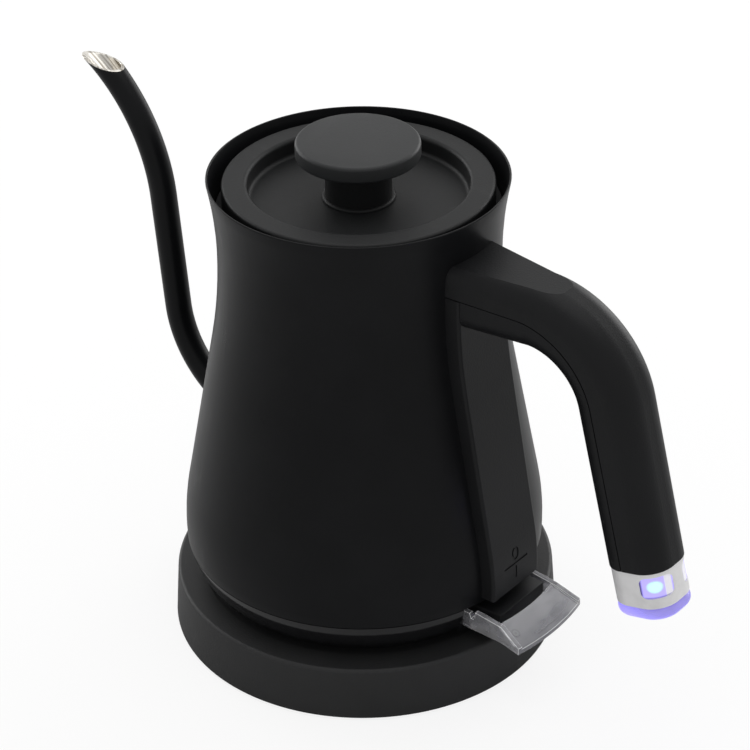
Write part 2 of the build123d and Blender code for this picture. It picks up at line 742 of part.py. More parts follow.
# Steel bracket welded to the body: a saddle plate and a tongue that the arm's screws hold.
tongue_thickness = 3.0
tongue_half_width = 7.0
saddle_thickness = 1.8
saddle_low = arm_height
saddle_high = arm_flat - handle_wall - 0.4
with BuildPart() as handle_bracket:
    with BuildSketch(Plane.XY.offset(arm_height)):
        with Locations(((arm_root + handle_screw_x[1] + 6) / 2, 0)):
            Rectangle(handle_screw_x[1] + 6 - arm_root, 2 * tongue_half_width)
    extrude(amount=tongue_thickness)
    with BuildSketch(Plane.YZ.offset(arm_root)):
        with Locations((0, (saddle_low + saddle_high) / 2)):
            Rectangle(2 * tongue_half_width, saddle_high - saddle_low)
    extrude(amount=side_radius(arm_height) + saddle_thickness - arm_root)
    add(body_block.part, mode=Mode.SUBTRACT)
    with BuildSketch(Plane.XY.offset(arm_height - tongue_thickness)):
        for x in handle_screw_x:
            with Locations((x, 0)):
                Circle(screw_radius + fit)
    extrude(amount=2 * tongue_thickness, mode=Mode.SUBTRACT)
    with BuildSketch(Plane.YZ.offset(arm_root)):
        with Locations((0, arm_height + steam_hole_rise)):
            Circle(steam_hole_radius)
    extrude(amount=20, mode=Mode.SUBTRACT)
handle_bracket.part.label = "handle_bracket"
export_step(handle_bracket.part, "parts/handle_bracket.step")

with BuildPart() as handle_screws:
    with BuildSketch(Plane.XY.offset(arm_bottom + 0.1)):
        for x in handle_screw_x:
            with Locations((x, 0)):
                Circle(screw_radius * 1.8)
    extrude(amount=0.9)
    with BuildSketch(Plane.XY.offset(arm_bottom + 0.1)):
        for x in handle_screw_x:
            with Locations((x, 0)):
                Circle(screw_radius)
    extrude(amount=grip_half_depth + tongue_thickness + 0.6)
handle_screws.part.label = "handle_screws"
export_step(handle_screws.part, "parts/handle_screws.step")

# Hollow cover on the body below the arm, with the engraved switch marks on its front.
mark_height = column_foot + mark_rise
with BuildPart() as marks:
    with BuildSketch(Plane.YZ.offset(belly_radius - 10)):
        with Locations((0, mark_height + mark_step)):
            Ellipse(1.7 + mark_line / 2, 2.4 + mark_line / 2)
            Ellipse(1.7 - mark_line / 2, 2.4 - mark_line / 2, mode=Mode.SUBTRACT)
        with Locations((0, mark_height - mark_step)):
            Rectangle(mark_line, 5.4)
        with Locations((0, mark_height)):
            Rectangle(mark_length, mark_line)
    extrude(amount=30)
    with BuildSketch(Plane.XZ):
        with BuildLine():
            low_end, high_end = side_line(mark_depth - column_proud, column_foot - 2, arm_height)
            Polyline(high_end, (20, arm_height), (20, column_foot - 2), low_end)
        make_face()
    extrude(amount=30, both=True, mode=Mode.SUBTRACT)

tube_inset = -steam_tube_radius - 0.3
with BuildPart() as handle_column:
    add(column_block.part)
    add(body_block.part, mode=Mode.SUBTRACT)
    with BuildSketch(Plane.XZ):
        with BuildLine():
            low_end, high_end = side_line(column_wall - column_proud, column_foot + column_wall,
                                          arm_height + 1)
            Polyline(high_end, (40, arm_height + 1), (40, column_foot + column_wall), low_end)
        make_face()
    extrude(amount=column_half_width - column_wall, both=True, mode=Mode.SUBTRACT)
    with BuildSketch(Plane.XY.offset(column_foot - 1)):
        with Locations((side_radius(column_foot, tube_inset), 0)):
            Circle(steam_tube_radius + run)
    extrude(amount=column_wall + 2, mode=Mode.SUBTRACT)
    add(marks.part, mode=Mode.SUBTRACT)
handle_column.part.label = "handle_column"
export_step(handle_column.part, "parts/handle_column.step")

# Steam tube in the column: it follows the body's side down to the switch.
tube_bottom = shell_bottom + 1.5
with BuildLine(Plane.XZ) as tube_path:
    tube_low, tube_high = side_line(tube_inset, tube_bottom, waist_height + 1.0)
tube_plane = Plane(origin=tube_path.wire() @ 0, z_dir=tube_path.wire() % 0)
with BuildPart() as steam_tube:
    with BuildSketch(tube_plane):
        Circle(steam_tube_radius)
        Circle(steam_tube_radius - 0.5, mode=Mode.SUBTRACT)
    sweep(path=tube_path.wire())
steam_tube.part.label = "steam_tube"
export_step(steam_tube.part, "parts/steam_tube.step")

# ---- end ring, windows, lights and cap at the grip's end ----------------------------------------
# In the end plane x points outwards from the kettle and z runs on along the grip.
def end_plane(along):
    return Plane(origin=(grip_end_x + along * tilt_x, 0, grip_end_z - along * tilt_z),
                 x_dir=(tilt_z, 0, tilt_x), z_dir=(tilt_x, 0, -tilt_z))


def end_outline(inset):
    return RectangleRounded(2 * (grip_half_depth - inset), 2 * (grip_half_width - inset),
                            grip_corner - inset)


window_middle = end_ring_length * 0.42


def window_plane(side):
    """Plane in the middle of the grip that faces one of the two slanted windows."""
    swing = radians(side * window_angle)
    outward = (tilt_z * cos(swing), sin(swing), tilt_x * cos(swing))
    return Plane(origin=end_plane(window_middle).origin, x_dir=(tilt_x, 0, -tilt_z), z_dir=outward)


with BuildPart() as end_ring:
    with BuildSketch(end_plane(0)):
        end_outline(end_step)
    extrude(amount=end_ring_length)
    with BuildSketch(end_plane(0)):
        end_outline(end_step + ring_thickness)
    extrude(amount=end_ring_length, mode=Mode.SUBTRACT)
    for side in (-1, 1):
        with BuildSketch(window_plane(side)):
            RectangleRounded(window_height, 2 * window_half_width, 2.4)
        extrude(amount=30, mode=Mode.SUBTRACT)
end_ring.part.label = "end_ring"
export_step(end_ring.part, "parts/end_ring.step")

window_parts = []
for side in (-1, 1):
    with BuildPart() as pane:
        with BuildSketch(window_plane(side)):
            RectangleRounded(window_height - 2 * fit, 2 * (window_half_width - fit), 2.4 - fit)
        extrude(amount=30)
        with BuildSketch(end_plane(0)):
            end_outline(end_step + window_recess)
        extrude(amount=end_ring_length, mode=Mode.INTERSECT)
        with BuildSketch(end_plane(0)):
            end_outline(end_step + ring_thickness)
        extrude(amount=end_ring_length, mode=Mode.SUBTRACT)
    window_parts.append(pane.part)
indicator_windows = Compound(label="indicator_windows", children=window_parts)
export_step(indicator_windows, "parts/indicator_windows.step")

# Light board across the ring, with one lamp behind each window.
with BuildPart() as light_board:
    with BuildSketch(end_plane(window_middle - 0.8)):
        end_outline(end_step + ring_thickness + fit)
    extrude(amount=1.6)
    with BuildSketch(end_plane(window_middle - 0.8)):
        with Locations((lamp_reach, 0)):
            Rectangle(2 * lamp_reach, 4 * lamp_reach)
    extrude(amount=1.6, mode=Mode.SUBTRACT)
light_board.part.label = "light_board"
export_step(light_board.part, "parts/light_board.step")

lamp_parts = []
for side in (-1, 1):
    with BuildPart() as lamp:
        with BuildSketch(window_plane(side).offset(lamp_reach)):
            Circle(lamp_radius)
        extrude(amount=lamp_start - lamp_reach)
        fillet(lamp.edges().filter_by(GeomType.CIRCLE).sort_by(Axis.X)[-1], 1.0)
    lamp_parts.append(lamp.part)
lamps = Compound(label="lamps", children=lamp_parts)
export_step(lamps, "parts/lamps.step")

# Translucent cap with a spigot inside the ring.
with BuildPart() as end_cap:
    with BuildSketch(end_plane(end_ring_length)):
        end_outline(end_step)
    extrude(amount=end_cap_length)
    fillet(end_cap.faces().sort_by(Axis.Z)[0].edges(), 2.6)
    with BuildSketch(end_plane(end_ring_length - 2.0)):
        end_outline(end_step + ring_thickness + fit)
        end_outline(end_step + 2 * ring_thickness)
    extrude(amount=2.0)
end_cap.part.label = "end_cap"
export_step(end_cap.part, "parts/end_cap.step")

# Two insulated wires from the board up the grip and along the arm.
wire_parts = []
for side in (-1, 1):
    with BuildLine(Plane.XZ.offset(-side * wire_spacing / 2)) as wire_path:
        Line((grip_end_x + 4 * tilt_x, grip_end_z - 4 * tilt_z), (bend_end_x, bend_end_z))
        CenterArc((arm_straight, bend_z), grip_bend, grip_tilt, 90 - grip_tilt)
    with BuildPart() as wire:
        with BuildSketch(Plane(origin=wire_path.wire() @ 0, z_dir=wire_path.wire() % 0)):
            Circle(wire_radius)
        sweep(path=wire_path.wire())
    wire_parts.append(wire.part)
light_wires = Compound(label="light_wires", children=wire_parts)
export_step(light_wires, "parts/light_wires.step")

# ---- switch lever -------------------------------------------------------------------------------
with BuildPart() as lever_pin:
    with BuildSketch(Plane.XZ):
        with Locations((lever_pivot_x, lever_pivot_z)):
            Circle(lever_pin_radius)
    extrude(amount=cheek_inner + cheek_width, both=True)
lever_pin.part.label = "lever_pin"
export_step(lever_pin.part, "parts/lever_pin.step")

# Clear paddle: a floor and a sloping panel, both turned round the kettle's axis, between side walls.
lever_low = flange_top + lever_floor_gap
lever_back = lever_pivot_x - lever_tail
lever_panel = belly_radius + lever_panel_reach
lever_nose = belly_radius + lever_nose_reach
panel_top = lever_low + lever_panel_height
nose_top = lever_low + lever_nose_height
ear_x = belly_radius - 1.5
notch_x = belly_radius - 3.4


def paddle_outline(inset):
    """Plan of the paddle between its straight rear and its round nose, set in on both sides."""
    nose = lever_nose + 4
    spread = (lever_nose_half_width - lever_back_half_width) / (lever_nose - lever_panel)
    nose_half = lever_back_half_width + spread * (nose - lever_panel) - inset
    back_half = lever_back_half_width - inset
    with BuildSketch(Plane.XY.offset(lever_low - 1)) as outline:
        with BuildLine():
            Polyline((lever_back, -back_half), (lever_panel, -back_half), (nose, -nose_half),
                     (nose, nose_half), (lever_panel, back_half), (lever_back, back_half),
                     (lever_back, -back_half))
        make_face()
    return outline.sketch


with BuildPart() as lever_paddle:
    # side walls with an ear over the pivot
    with BuildSketch(Plane.XZ):
        with BuildLine():
            Polyline((lever_back, lever_low), (lever_nose, lever_low), (lever_nose, nose_top),
                     (lever_panel, panel_top), (ear_x, panel_top + 1.2), (ear_x - 0.7, lever_low + 5),
                     (notch_x, lever_low + 5), (notch_x - 0.8, lever_low + 7),
                     (lever_back + 1, lever_low + 7), (lever_back, lever_low + 6),
                     (lever_back, lever_low))
        make_face()
    extrude(amount=lever_nose_half_width + 2, both=True)
    add(extrude(paddle_outline(0), amount=20, mode=Mode.PRIVATE), mode=Mode.INTERSECT)
    add(extrude(paddle_outline(lever_side_wall), amount=20, mode=Mode.PRIVATE), mode=Mode.SUBTRACT)
    with BuildSketch(Plane.XY.offset(lever_low)):
        Circle(lever_nose)
    extrude(amount=20, mode=Mode.INTERSECT)
    with BuildPart(mode=Mode.PRIVATE) as wedge:
        with BuildSketch(Plane.XZ):
            with BuildLine():
                Polyline((ear_x, lever_low), (lever_nose, lever_low), (lever_nose, nose_top),
                         (lever_panel, panel_top), (lever_panel, panel_top - lever_wall),
                         (lever_nose - 3.2, lever_low + lever_wall), (ear_x, lever_low + lever_wall),
                         (ear_x, lever_low))
            make_face()
        revolve(axis=Axis.Z)
        add(extrude(paddle_outline(0), amount=20, mode=Mode.PRIVATE), mode=Mode.INTERSECT)
    add(wedge.part)
    with BuildSketch(Plane.XZ):
        with Locations((lever_pivot_x, lever_pivot_z)):
            Circle(lever_pin_radius + pin_clearance)
    extrude(amount=40, both=True, mode=Mode.SUBTRACT)
lever_paddle.part.label = "lever_paddle"
export_step(lever_paddle.part, "parts/lever_paddle.step")

# Black bar that carries the paddle; its short tail behind the pivot works the push rod.
tail_end = push_rod_x - push_rod_radius - 1.0
tail_half = 1.2
tail_half_width = 4.9
side_cut = lever_bar_half_width - tail_half_width + 0.1
bar_low = lever_low + lever_wall
bar_top = bar_low + lever_bar_height
bar_end = lever_panel - 3.6
with BuildPart() as lever_bar:
    with BuildSketch(Plane.XZ):
        with BuildLine():
            Polyline((tail_end, lever_pivot_z - tail_half), (lever_pivot_x - 3, lever_pivot_z - 3.2),
                     (lever_pivot_x + 4, bar_low), (bar_end, bar_low), (bar_end, bar_top),
                     (lever_pivot_x + 4, bar_top), (lever_pivot_x, lever_pivot_z + 3.0),
                     (lever_pivot_x - 4, lever_pivot_z + tail_half), (tail_end, lever_pivot_z + tail_half),
                     (tail_end, lever_pivot_z - tail_half))
        make_face()
    extrude(amount=lever_bar_half_width, both=True)
    with BuildSketch(Plane.XY.offset(lever_pivot_z - 8)):
        for side in (-1, 1):
            with Locations((lever_pivot_x - 8, side * (tail_half_width + side_cut / 2))):
                Rectangle(12, side_cut)
    extrude(amount=16, mode=Mode.SUBTRACT)
    with BuildSketch(Plane.XZ):
        with Locations((lever_pivot_x, lever_pivot_z)):
            Circle(lever_pin_radius + pin_clearance)
    extrude(amount=40, both=True, mode=Mode.SUBTRACT)
lever_bar.part.label = "lever_bar"
export_step(lever_bar.part, "parts/lever_bar.step")

# Push rod between the lever's tail and the control unit's arm.
rod_bottom = lever_pivot_z + tail_half + 0.5
with BuildPart() as push_rod:
    with BuildSketch(Plane.XY.offset(rod_bottom)):
        with Locations((push_rod_x, 0)):
            Circle(push_rod_radius)
    extrude(amount=connector_top + 3.0 - rod_bottom)
    with BuildSketch(Plane.XY.offset(rod_bottom)):
        with Locations((push_rod_x, 0)):
            Circle(push_rod_radius + 0.6)
    extrude(amount=1.2)
push_rod.part.label = "push_rod"
export_step(push_rod.part, "parts/push_rod.step")

# ---- lid ----------------------------------------------------------------------------------------
stem_top = knob_top - knob_thickness
with BuildPart() as lid_cover:
    with BuildSketch(Plane.XY.offset(lid_top)):
        Circle(lid_radius)
    extrude(amount=-(lid_top - dish_floor + lid_wall))
    fillet(lid_cover.edges().group_by(Axis.Z)[-1], lid_edge)
    with BuildSketch(Plane.XY.offset(lid_top)):
        Circle(dish_radius)
    extrude(amount=dish_floor - lid_top, mode=Mode.SUBTRACT)
    fillet(lid_cover.edges().filter_by(GeomType.CIRCLE).filter_by(
        lambda e: abs(e.radius - dish_radius) < 0.01), dish_edge)
    with BuildSketch(Plane.XY.offset(dish_floor - lid_wall)):
        Circle(lid_radius - lid_wall)
        Circle(dish_radius + lid_wall, mode=Mode.SUBTRACT)
    extrude(amount=lid_top - dish_floor, mode=Mode.SUBTRACT)
    with BuildSketch(Plane.XY.offset(dish_floor - lid_wall)):
        Circle(screw_radius + run)
    extrude(amount=lid_wall, mode=Mode.SUBTRACT)
lid_cover.part.label = "lid_cover"
export_step(lid_cover.part, "parts/lid_cover.step")

gasket_half = gasket_thickness / 2
skirt_bottom = gasket_height - gasket_half - 3.5
skirt_top = dish_floor - lid_wall
groove_radius = lid_radius - gasket_depth
with BuildPart() as lid_skirt:
    with BuildSketch(Plane.XY.offset(skirt_bottom)):
        Circle(lid_radius)
    extrude(amount=skirt_top - skirt_bottom)
    with BuildSketch(Plane.XY.offset(skirt_bottom + lid_wall)):
        Circle(groove_radius - lid_wall)
    extrude(amount=skirt_top - skirt_bottom, mode=Mode.SUBTRACT)
    with BuildSketch(Plane.XY.offset(gasket_height - gasket_half)):
        Circle(lid_radius + 1)
        Circle(groove_radius, mode=Mode.SUBTRACT)
    extrude(amount=gasket_thickness, mode=Mode.SUBTRACT)
lid_skirt.part.label = "lid_skirt"
export_step(lid_skirt.part, "parts/lid_skirt.step")

# Rubber ring that grips the shell's inside, with two thin lips.
gasket_outer = side_radius(gasket_height - gasket_half, wall) - 2 * fit
with BuildPart() as lid_gasket:
    with BuildSketch(Plane.XY.offset(gasket_height - gasket_half + fit)):
        Circle(gasket_outer)
        Circle(groove_radius + fit, mode=Mode.SUBTRACT)
    extrude(amount=gasket_thickness - 2 * fit)
    with BuildSketch(Plane.XY.offset(gasket_height - 0.4)):
        Circle(gasket_outer + 1)
        Circle(gasket_outer - 1.4, mode=Mode.SUBTRACT)
    extrude(amount=0.8, mode=Mode.SUBTRACT)
lid_gasket.part.label = "lid_gasket"
export_step(lid_gasket.part, "parts/lid_gasket.step")

with BuildPart() as knob_stem:
    with BuildSketch(Plane.XY.offset(dish_floor)):
        Circle(stem_radius + 1.4)
    extrude(amount=1.2)
    fillet(knob_stem.edges().group_by(Axis.Z)[-1], 1.0)
    with BuildSketch(Plane.XY.offset(dish_floor)):
        Circle(stem_radius)
    extrude(amount=stem_top - dish_floor)
    with BuildSketch(Plane.XY.offset(dish_floor)):
        Circle(screw_radius + fit)
    extrude(amount=12, mode=Mode.SUBTRACT)
knob_stem.part.label = "knob_stem"
export_step(knob_stem.part, "parts/knob_stem.step")

with BuildPart() as knob_disc:
    with BuildSketch(Plane.XY.offset(stem_top)):
        Circle(knob_radius)
    extrude(amount=knob_thickness)
    fillet(knob_disc.edges().group_by(Axis.Z)[-1], 1.3)
    fillet(knob_disc.edges().group_by(Axis.Z)[0], 1.0)
knob_disc.part.label = "knob_disc"
export_step(knob_disc.part, "parts/knob_disc.step")

with BuildPart() as knob_screw:
    with BuildSketch(Plane.XY.offset(dish_floor - lid_wall - 1.2)):
        Circle(screw_radius * 1.9)
    extrude(amount=1.2)
    with BuildSketch(Plane.XY.offset(dish_floor - lid_wall)):
        Circle(screw_radius)
    extrude(amount=lid_wall + 10)
knob_screw.part.label = "knob_screw"
export_step(knob_screw.part, "parts/knob_screw.step")
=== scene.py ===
import json
import math

import bmesh
import bpy
import numpy as np
from mathutils import Matrix, Vector


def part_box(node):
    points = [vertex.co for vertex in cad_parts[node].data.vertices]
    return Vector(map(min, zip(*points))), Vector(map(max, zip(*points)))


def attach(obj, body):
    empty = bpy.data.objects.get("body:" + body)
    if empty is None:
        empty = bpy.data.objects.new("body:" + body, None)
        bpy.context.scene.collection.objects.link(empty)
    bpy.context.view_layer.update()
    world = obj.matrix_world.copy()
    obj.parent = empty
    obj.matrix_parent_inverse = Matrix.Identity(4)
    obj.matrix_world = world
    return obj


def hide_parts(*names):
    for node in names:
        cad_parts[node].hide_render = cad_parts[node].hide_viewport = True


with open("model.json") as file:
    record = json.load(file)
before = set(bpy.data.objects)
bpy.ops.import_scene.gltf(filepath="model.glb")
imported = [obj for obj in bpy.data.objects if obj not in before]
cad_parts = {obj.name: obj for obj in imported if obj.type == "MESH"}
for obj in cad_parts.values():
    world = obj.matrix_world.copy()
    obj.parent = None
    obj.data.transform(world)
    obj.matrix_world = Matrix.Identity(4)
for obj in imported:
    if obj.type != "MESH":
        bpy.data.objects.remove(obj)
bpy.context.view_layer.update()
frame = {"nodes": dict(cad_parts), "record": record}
nodes = frame["nodes"]
print("frame loaded:", len(nodes), "nodes")

mm = 0.001
white = (1, 1, 1, 1)


# A shader socket in ordinary arithmetic: each operator adds one Math node to its graph.
class Sock:
    def __init__(self, graph, link):
        self.graph = graph
        self.link = link

    def math(self, operation, *others):
        return self.graph.node("ShaderNodeMath", {"operation": operation}, [self, *others])

    def __add__(self, other):
        return self.math("ADD", other)

    def __radd__(self, other):
        return self.math("ADD", other)

    def __sub__(self, other):
        return self.math("SUBTRACT", other)

    def __rsub__(self, other):
        return self.graph.node("ShaderNodeMath", {"operation": "SUBTRACT"}, [other, self])

    def __mul__(self, other):
        return self.math("MULTIPLY", other)

    def __truediv__(self, other):
        return self.math("DIVIDE", other)

    def __pow__(self, other):
        return self.math("POWER", other)

    def __neg__(self):
        return self.math("MULTIPLY", -1.0)

    def clamp(self):
        return self.graph.node("ShaderNodeClamp", {}, [self, 0.0, 1.0])

    # 0 below low, 1 above high, smooth between
    def step(self, low, high):
        settings = {"interpolation_type": "SMOOTHSTEP"}
        return self.graph.node("ShaderNodeMapRange", settings, [self, low, high, 0.0, 1.0])


# The node tree of a material or a world; node() makes any node from its type, its settings and its
# sockets' values, and coords is the place or direction that the patterns read.
class Graph:
    def __init__(self, owner, coordinate="Object"):
        self.owner = owner
        self.owner.use_nodes = True
        self.tree = self.owner.node_tree
        self.tree.nodes.clear()
        self.coords = self.node("ShaderNodeTexCoord", {}, {}, coordinate)

    def node(self, kind, settings, values, output=0):
        made = self.tree.nodes.new(kind)
        for key, value in settings.items():
            setattr(made, key, value)
        pairs = values.items() if isinstance(values, dict) else enumerate(values)
        for key, value in pairs:
            if isinstance(value, Sock):
                self.tree.links.new(value.link, made.inputs[key])
            else:
                made.inputs[key].default_value = value
        return Sock(self, made.outputs[output])

    def noise(self, size, detail, rough, stretch=(1, 1, 1), at=None):
        place = self.node("ShaderNodeMapping", {}, {"Vector": at or self.coords, "Scale": stretch})
        values = {"Vector": place, "Scale": 1.0 / size, "Detail": detail, "Roughness": rough}
        return self.node("ShaderNodeTexNoise", {}, values)

    def cells(self, size):
        values = {"Vector": self.coords, "Scale": 1.0 / size}
        return self.node("ShaderNodeTexVoronoi", {"feature": "F1"}, values)

    def axis(self, letter):
        return self.node("ShaderNodeSeparateXYZ", {}, [self.coords], letter)

    # 1 on a face that looks straight up, -1 on one that looks straight down
    def upward(self):
        normal = self.node("ShaderNodeNewGeometry", {}, {}, "Normal")
        return self.node("ShaderNodeSeparateXYZ", {}, [normal], "Z")

    def mix(self, factor, first, second):
        sockets = {0: factor, 6: self.colour(first), 7: self.colour(second)}
        return self.node("ShaderNodeMix", {"data_type": "RGBA"}, sockets, 2)

    def colour(self, value):
        return value if isinstance(value, Sock) else (*value, 1.0)

    # how far a place lies from centre along a direction, in metres; the +Y side reads as the -Y side does
    def along(self, centre, direction):
        x, y, z = (self.axis(letter) for letter in "XYZ")
        y = -y.math("ABSOLUTE")
        level = (x - centre[0]) * direction[0] + (y - centre[1]) * direction[1]
        return level + (z - centre[2]) * direction[2]

    # distance in millimetres
    def bump(self, height, strength, distance):
        values = {"Height": height, "Strength": strength, "Distance": distance * mm}
        return self.node("ShaderNodeBump", {}, values)

    def surface(self, values):
        return self.finish(self.node("ShaderNodeBsdfPrincipled", {}, values), "Material")

    def finish(self, shader, kind):
        out = self.tree.nodes.new("ShaderNodeOutput" + kind)
        self.tree.links.new(shader.link, out.inputs["Surface"])
        return self.owner


def materialGraph(name):
    return Graph(bpy.data.materials.new(name))


def scaled(colour, factor, lift=0.0):
    return tuple(channel * factor + lift for channel in colour)


# base colour, roughness, size and depth of the grain in millimetres, specular level
paintValues = {"colour": (0.0052, 0.0054, 0.0061), "rough": 0.33, "grain": 0.3, "depth": 0.03, "shine": 0.14}
blackFinishes = {
    "body_paint": paintValues,
    "spout_paint": paintValues,
    "handle_plastic": {
        "colour": (0.0075, 0.0077, 0.0085), "rough": 0.4, "grain": 0.45, "depth": 0.06, "shine": 0.2},
    "lid_plastic": {
        "colour": (0.0085, 0.009, 0.0094), "rough": 0.48, "grain": 0.4, "depth": 0.07, "shine": 0.24},
    "knob_plastic": {
        "colour": (0.0125, 0.0135, 0.0142), "rough": 0.5, "grain": 0.35, "depth": 0.06, "shine": 0.4},
    "base_plastic": {
        "colour": (0.0165, 0.0167, 0.0172), "rough": 0.5, "grain": 0.5, "depth": 0.09, "shine": 0.36},
    "connector_plastic": {
        "colour": (0.03, 0.03, 0.031), "rough": 0.45, "grain": 0.5, "depth": 0.06, "shine": 0.4},
}

# each pebble is this many grains across
pebbleScale = 1.7

# marks on every black piece: sizes in millimetres, and how much each one changes colour or roughness
wearValues = {"patchSize": 32, "patchColour": 0.5, "patchRough": 0.1, "patchLift": (1.35, 0.0015),
              "rubSize": 9, "rubRough": -0.05, "rubStretch": (1, 1, 0.35),
              "dustSize": 0.9, "dustShare": 0.35, "dustColour": 0.25, "dustRough": 0.2,
              "dustTint": (0.055, 0.056, 0.058)}


# Moulded or coated black: a fine pebble grain, slow gloss patches, settled dust and faint rubs.
def blackFinish(name, values, wear):
    g = materialGraph(name)
    grain = g.noise(values["grain"] * mm, 3.0, 0.6)
    pebble = g.cells(values["grain"] * pebbleScale * mm)
    slow = g.noise(wear["patchSize"] * mm, 2.0, 0.5)
    rubs = g.noise(wear["rubSize"] * mm, 4.0, 0.7, wear["rubStretch"]).step(0.58, 0.72)
    specks = g.noise(wear["dustSize"] * mm, 2.0, 0.7).step(0.5, 0.75)
    dust = (g.upward().step(0.55, 1.0) * specks) * wear["dustShare"]
    lifted = scaled(values["colour"], *wear["patchLift"])
    colour = g.mix(slow.step(0.35, 0.7) * wear["patchColour"], values["colour"], lifted)
    colour = g.mix(dust * wear["dustColour"], colour, wear["dustTint"])
    rough = values["rough"] + (slow - 0.5) * wear["patchRough"]
    rough = rough + rubs * wear["rubRough"] + dust * wear["dustRough"]
    normal = g.bump(grain * 0.6 + pebble * 0.8, 0.5, values["depth"])
    return g.surface({"Base Color": colour, "Roughness": rough.clamp(), "Normal": normal,
                      "Specular IOR Level": values["shine"]})


# sizes and depths in millimetres, here and in the finishes below
glossValues = {"colour": (0.004, 0.004, 0.0045), "hazy": (0.009, 0.009, 0.01), "rough": 0.09,
               "hazeSize": 14, "hazeRough": 0.06, "scratchSize": 0.5, "scratchStretch": (1, 1, 14),
               "scratchRough": 0.05, "waveSize": 22, "waveDepth": 0.2, "shine": 0.5}


# Polished black moulding with a little haze and very fine scratches.
def glossFinish(name, values):
    g = materialGraph(name)
    haze = g.noise(values["hazeSize"] * mm, 3.0, 0.6)
    scratch = g.noise(values["scratchSize"] * mm, 2.0, 0.5, values["scratchStretch"]).step(0.62, 0.75)
    rough = values["rough"] + haze * values["hazeRough"] + scratch * values["scratchRough"]
    colour = g.mix(haze, values["colour"], values["hazy"])
    normal = g.bump(g.noise(values["waveSize"] * mm, 1.0, 0.4), 0.15, values["waveDepth"])
    return g.surface({"Base Color": colour, "Roughness": rough.clamp(), "Normal": normal,
                      "Specular IOR Level": values["shine"]})


# base colour, roughness, stretch and size in millimetres of the drawn lines, and how metallic it is
metalFinishes = {
    "bare_steel": {
        "colour": (0.56, 0.55, 0.53), "rough": 0.24, "stretch": (1, 1, 9), "line": 0.5, "metal": 1.0},
    "screw_steel": {
        "colour": (0.52, 0.52, 0.51), "rough": 0.3, "stretch": (1, 1, 1), "line": 0.6, "metal": 1.0},
    "contact_brass": {
        "colour": (0.72, 0.52, 0.24), "rough": 0.25, "stretch": (1, 1, 6), "line": 0.4, "metal": 1.0},
    "cast_aluminium": {
        "colour": (0.55, 0.55, 0.56), "rough": 0.45, "stretch": (1, 1, 1), "line": 1.2, "metal": 1.0},
    "element_steel": {
        "colour": (0.34, 0.31, 0.28), "rough": 0.4, "stretch": (1, 1, 1), "line": 0.8, "metal": 1.0},
    "satin_silver": {
        "colour": (0.95, 0.945, 0.95), "rough": 0.34, "stretch": (1, 1, 10), "line": 0.35, "metal": 0.12},
}


tarnishValues = {"size": 11, "darken": 0.78, "share": 0.6, "rough": 0.12, "lineRough": 0.1, "lineDepth": 0.03}


# Metal with fine drawn lines, tarnish patches and uneven gloss.
def metalFinish(name, values, tarnish):
    g = materialGraph(name)
    lines = g.noise(values["line"] * mm, 3.0, 0.6, values["stretch"])
    patches = g.noise(tarnish["size"] * mm, 3.0, 0.6)
    tarnished = scaled(values["colour"], tarnish["darken"])
    colour = g.mix(patches.step(0.4, 0.75) * tarnish["share"], values["colour"], tarnished)
    rough = values["rough"] + lines * tarnish["lineRough"] + (patches - 0.5) * tarnish["rough"]
    return g.surface({"Base Color": colour, "Metallic": values["metal"], "Roughness": rough.clamp(),
                      "Normal": g.bump(lines, 0.25, tarnish["lineDepth"])})


# streak sizes count the bore's radius as 1; the bright and dark colours are painted reflections laid along
# the streaks
boreValues = {"bright": (0.86, 0.83, 0.77), "dark": (0.30, 0.27, 0.23), "rough": 0.16, "fineRough": 0.15,
              "streakSize": 0.22, "fineSize": 0.05, "depth": 0.05}


# Drawn steel inside the spout: streaks that run along the tube, read from its own "around" attribute; their
# bumps are the drawn lines, and their bright and dark colours are painted reflections.
def boreFinish(name, values):
    g = materialGraph(name)
    around = g.node("ShaderNodeAttribute", {"attribute_name": "around"}, {}, "Vector")
    streaksAndReflections = g.noise(values["streakSize"], 3.0, 0.65, (1, 1, 0.3), around)
    fine = g.noise(values["fineSize"], 2.0, 0.6, (1, 1, 0.2), around)
    colour = g.mix(streaksAndReflections.step(0.36, 0.62), values["dark"], values["bright"])
    rough = values["rough"] + fine * values["fineRough"]
    return g.surface({"Base Color": colour, "Metallic": 1.0, "Roughness": rough,
                      "Normal": g.bump(fine + streaksAndReflections, 0.3, values["depth"])})


rubberColours = {"rubber": (0.012, 0.012, 0.0125), "silicone": (0.02, 0.02, 0.021)}
rubberValues = {"bloomSize": 5, "bloomShare": 0.5, "bloomLift": 2.2, "bloomRough": 0.15, "rough": 0.75,
                "skinSize": 0.3, "skinDepth": 0.05, "shine": 0.25}


# Rubber: a soft dusty black with a fine matt skin.
def rubberFinish(name, base, values):
    g = materialGraph(name)
    bloom = g.noise(values["bloomSize"] * mm, 4.0, 0.7)
    bloomed = scaled(base, values["bloomLift"])
    colour = g.mix(bloom.step(0.45, 0.8) * values["bloomShare"], base, bloomed)
    normal = g.bump(g.noise(values["skinSize"] * mm, 2.0, 0.6), 0.4, values["skinDepth"])
    return g.surface({"Base Color": colour, "Roughness": values["rough"] + bloom * values["bloomRough"],
                      "Normal": normal, "Specular IOR Level": values["shine"]})


plasticIor = 1.49

# the mould mark is a ring and a dot, placed from the paddle's outer edge
clearValues = {"colour": (0.72, 0.72, 0.74), "cloudy": (0.50, 0.50, 0.53), "rough": 0.1, "transmission": 0.68,
               "flowSize": 8, "flowStretch": (1, 0.4, 1), "skinSize": 1.2, "hazeSize": 3, "hazeRough": 0.12,
               "depth": 0.15, "markInset": 7.5, "markSide": -15, "markRadius": 1.5, "markLine": (0.15, 0.45),
               "markDot": (0.3, 0.6), "markColour": (0.35, 0.35, 0.37), "markShare": 0.3}


